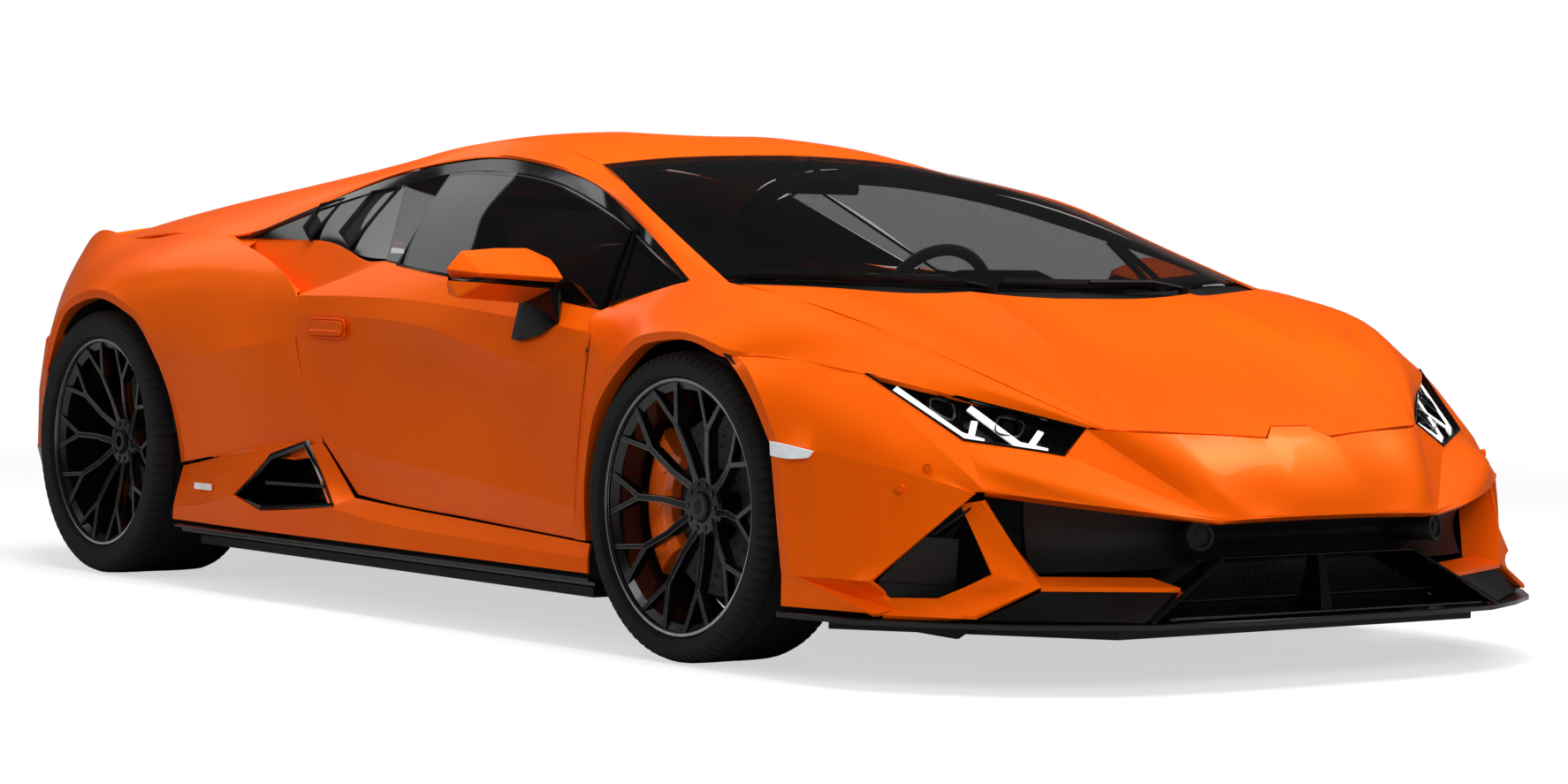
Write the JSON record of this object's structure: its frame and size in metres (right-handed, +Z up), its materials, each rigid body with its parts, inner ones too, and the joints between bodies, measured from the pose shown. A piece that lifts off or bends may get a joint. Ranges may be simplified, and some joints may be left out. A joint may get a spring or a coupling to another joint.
{
  "type": "mid-engined two-seat supercar",
  "caption": "Low mid-engined two-seat sports car with opening doors, front lid and engine cover, steered front wheels and free-rolling tyres.",
  "frame": {"origin": "on the ground, midway between nose and tail, on the centre plane", "axes": "+X forward along the car, +Y to its left, +Z up"},
  "size_m": [4.52, 2.224, 1.1649],
  "materials": {
    "body_paint": "metallic gloss",
    "gloss_black": "gloss",
    "satin_black": "satin",
    "glass": "polished",
    "lamp_lens": "polished",
    "red_lens": "gloss",
    "tyre": "matte",
    "wheel": "gloss black",
    "steel": "machined",
    "interior": "matte",
    "carbon": "satin",
    "engine": "cast"
  },
  "bodies": {
    "chassis": {"cabin_tub": "carbon", "cowl_panel": "satin_black", "dashboard": "interior", "engine_block": "engine", "exhaust_tips": "steel", "fixed_windows": "glass", "floor_pan": "satin_black", "front_bumper": "body_paint", "front_fenders": "body_paint", "front_grille": "satin_black", "front_splitter": "gloss_black", "front_structure": "steel", "front_suspension": "steel", "front_trunk": "satin_black", "headlamps": "lamp_lens", "rear_bumper": "body_paint", "rear_diffuser": "gloss_black", "rear_fenders": "body_paint", "rear_grille": "satin_black", "rear_spoiler": "body_paint", "rear_structure": "steel", "rear_suspension": "steel", "rear_uprights": "steel", "roof": "body_paint", "roof_rails": "body_paint", "seats": "interior", "shoulder_scoops": "body_paint", "side_skirts": "body_paint", "side_vents": "satin_black", "skirt_blades": "gloss_black", "tail_lamps": "red_lens", "windscreen": "glass"},
    "front_lid": {"front_lid": "body_paint"},
    "engine_cover": {"engine_cover": "body_paint"},
    "door_left": {"door_left": "body_paint", "door_window_left": "glass", "mirror_left": "body_paint"},
    "door_right": {"door_right": "body_paint", "door_window_right": "glass", "mirror_right": "body_paint"},
    "steering_wheel": {"steering_wheel": "interior"},
    "knuckle_left": {"front_upright_left": "steel"},
    "knuckle_right": {"front_upright_right": "steel"},
    "front_wheel_left": {"front_wheel_left": "wheel", "front_tyre_left": "tyre"},
    "front_wheel_right": {"front_wheel_right": "wheel", "front_tyre_right": "tyre"},
    "rear_wheel_left": {"rear_wheel_left": "wheel", "rear_tyre_left": "tyre"},
    "rear_wheel_right": {"rear_wheel_right": "wheel", "rear_tyre_right": "tyre"}
  },
  "joints": [
    {"name": "front_lid_hinge", "type": "hinge", "parent": "chassis", "child": "front_lid", "pos_m": [1.15, 0, 0.786], "axis": [0, -1, 0], "range_deg": [0, 50]},
    {"name": "engine_cover_hinge", "type": "hinge", "parent": "chassis", "child": "engine_cover", "pos_m": [-0.56, 0, 1.086], "axis": [0, 1, 0], "range_deg": [0, 40]},
    {"name": "door_hinge_left", "type": "hinge", "parent": "chassis", "child": "door_left", "pos_m": [0.868, 0.937, 0.4], "axis": [0, 0, -1], "range_deg": [0, 60]},
    {"name": "door_hinge_right", "type": "hinge", "parent": "chassis", "child": "door_right", "pos_m": [0.868, -0.937, 0.4], "axis": [0, 0, 1], "range_deg": [0, 60]},
    {"name": "steer_left", "type": "hinge", "parent": "chassis", "child": "knuckle_left", "pos_m": [1.26, 0.739, 0.3275], "axis": [0, 0, 1], "range_deg": [-30, 30]},
    {"name": "steer_right", "type": "hinge", "parent": "chassis", "child": "knuckle_right", "pos_m": [1.26, -0.739, 0.3275], "axis": [0, 0, 1], "range_deg": [-30, 30]},
    {"name": "steering_wheel_turn", "type": "hinge", "parent": "chassis", "child": "steering_wheel", "pos_m": [0.47, 0.37, 0.715], "axis": [-0.9398, 0, 0.3417], "range_deg": [-450, 450]},
    {"name": "front_wheel_left_spin", "type": "hinge", "parent": "knuckle_left", "child": "front_wheel_left", "pos_m": [1.26, 0.834, 0.3275], "axis": [0, 1, 0], "continuous": true},
    {"name": "front_wheel_right_spin", "type": "hinge", "parent": "knuckle_right", "child": "front_wheel_right", "pos_m": [1.26, -0.834, 0.3275], "axis": [0, 1, 0], "continuous": true},
    {"name": "rear_wheel_left_spin", "type": "hinge", "parent": "chassis", "child": "rear_wheel_left", "pos_m": [-1.36, 0.81, 0.3455], "axis": [0, 1, 0], "continuous": true},
    {"name": "rear_wheel_right_spin", "type": "hinge", "parent": "chassis", "child": "rear_wheel_right", "pos_m": [-1.36, -0.81, 0.3455], "axis": [0, 1, 0], "continuous": true}
  ],
  "couplings": [
    {"joint": "steer_left", "follows": "steer_right", "ratio": 1},
    {"joint": "steering_wheel_turn", "follows": "steer_right", "ratio": 15}
  ]
}
